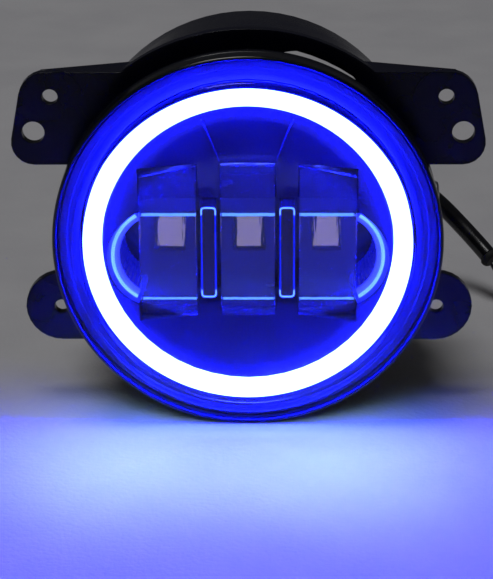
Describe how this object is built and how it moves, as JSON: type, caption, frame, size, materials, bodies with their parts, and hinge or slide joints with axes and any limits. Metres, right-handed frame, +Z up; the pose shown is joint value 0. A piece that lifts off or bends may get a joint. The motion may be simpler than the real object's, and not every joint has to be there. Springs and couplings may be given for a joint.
{
  "type": "fog light",
  "caption": "Round halo fog light: clear stepped lens over a lit ring and thick optic blocks, in a black four-eared bracket with rear collar, aim pivot, finned heat sink and short plug lead.",
  "frame": {"origin": "Centre of the lamp without its lead, on the surface it stands on: the lowest point of the rim and the underside of the adjuster trough.", "axes": "+Y runs from the lens to the heat sink, so the lamp shines along -Y; +Z is up; +X is towards the side the cable leaves."},
  "size_m": [0.2287, 0.1204, 0.1128],
  "materials": {
    "black_nylon": "satin moulded glass-filled nylon",
    "black_gloss": "polished black moulding",
    "cast_aluminium": "black powder-coated die casting",
    "clear_lens": "clear hard-coated polycarbonate",
    "clear_optic": "clear moulded acrylic block",
    "halo_diffuser": "milky light guide, lit",
    "reflector": "vacuum-metallised",
    "rubber": "moulded rubber",
    "cable_sleeve": "smooth extruded sleeve",
    "circuit_board": "solder-resist laminate",
    "zinc_steel": "zinc-plated",
    "emitter": "phosphor-coated emitter",
    "white_nylon": "natural nylon",
    "orange_wire": "wire insulation"
  },
  "bodies": {
    "bracket": {"mounting_bracket": "black_nylon", "pivot_bush_left": "white_nylon", "pivot_bush_right": "white_nylon", "cable_sleeve": "cable_sleeve", "sleeve_cuff": "rubber", "wire_one": "orange_wire", "wire_two": "black_nylon", "plug_body": "black_nylon", "plug_seal": "orange_wire", "plug_latch": "black_nylon"},
    "lamp_pod": {"rim_ring": "black_nylon", "front_lens": "clear_lens", "lens_seal": "rubber", "housing": "cast_aluminium", "bezel": "black_gloss", "halo_guide": "halo_diffuser", "halo_board": "circuit_board", "optic_left": "clear_optic", "optic_centre": "clear_optic", "optic_right": "clear_optic", "divider_bar_left": "black_gloss", "divider_bar_right": "black_gloss", "reflector_tray": "reflector", "led_board": "circuit_board", "led_chip_left": "emitter", "led_chip_centre": "emitter", "led_chip_right": "emitter", "driver_board": "circuit_board", "driver_screw_1": "zinc_steel", "driver_screw_2": "zinc_steel", "rear_gasket": "rubber", "heat_sink": "cast_aluminium", "vent_plug": "rubber", "pivot_screw_left": "zinc_steel", "pivot_screw_right": "zinc_steel", "pivot_washer_left": "white_nylon", "pivot_washer_right": "white_nylon", "adjuster_nut": "white_nylon", "cable_gland": "rubber", "led_board_screw_1": "zinc_steel", "heat_sink_screw_1": "zinc_steel", "led_board_screw_2": "zinc_steel", "heat_sink_screw_2": "zinc_steel", "led_board_screw_3": "zinc_steel", "heat_sink_screw_3": "zinc_steel", "led_board_screw_4": "zinc_steel", "heat_sink_screw_4": "zinc_steel"},
    "adjuster": {"adjuster_screw": "zinc_steel", "adjuster_clip": "zinc_steel"}
  },
  "joints": [
    {"name": "aim_tilt", "type": "hinge", "parent": "bracket", "child": "lamp_pod", "pos_m": [0, 0.0145, 0.055], "axis": [1, 0, 0], "range_deg": [-3, 3]},
    {"name": "adjuster_turn", "type": "hinge", "parent": "bracket", "child": "adjuster", "pos_m": [0, 0.0308, 0.0075], "axis": [0, 1, 0], "range_deg": [-900, 900]}
  ],
  "couplings": [
    {"joint": "adjuster_turn", "follows": "aim_tilt", "ratio": -298.45}
  ]
}
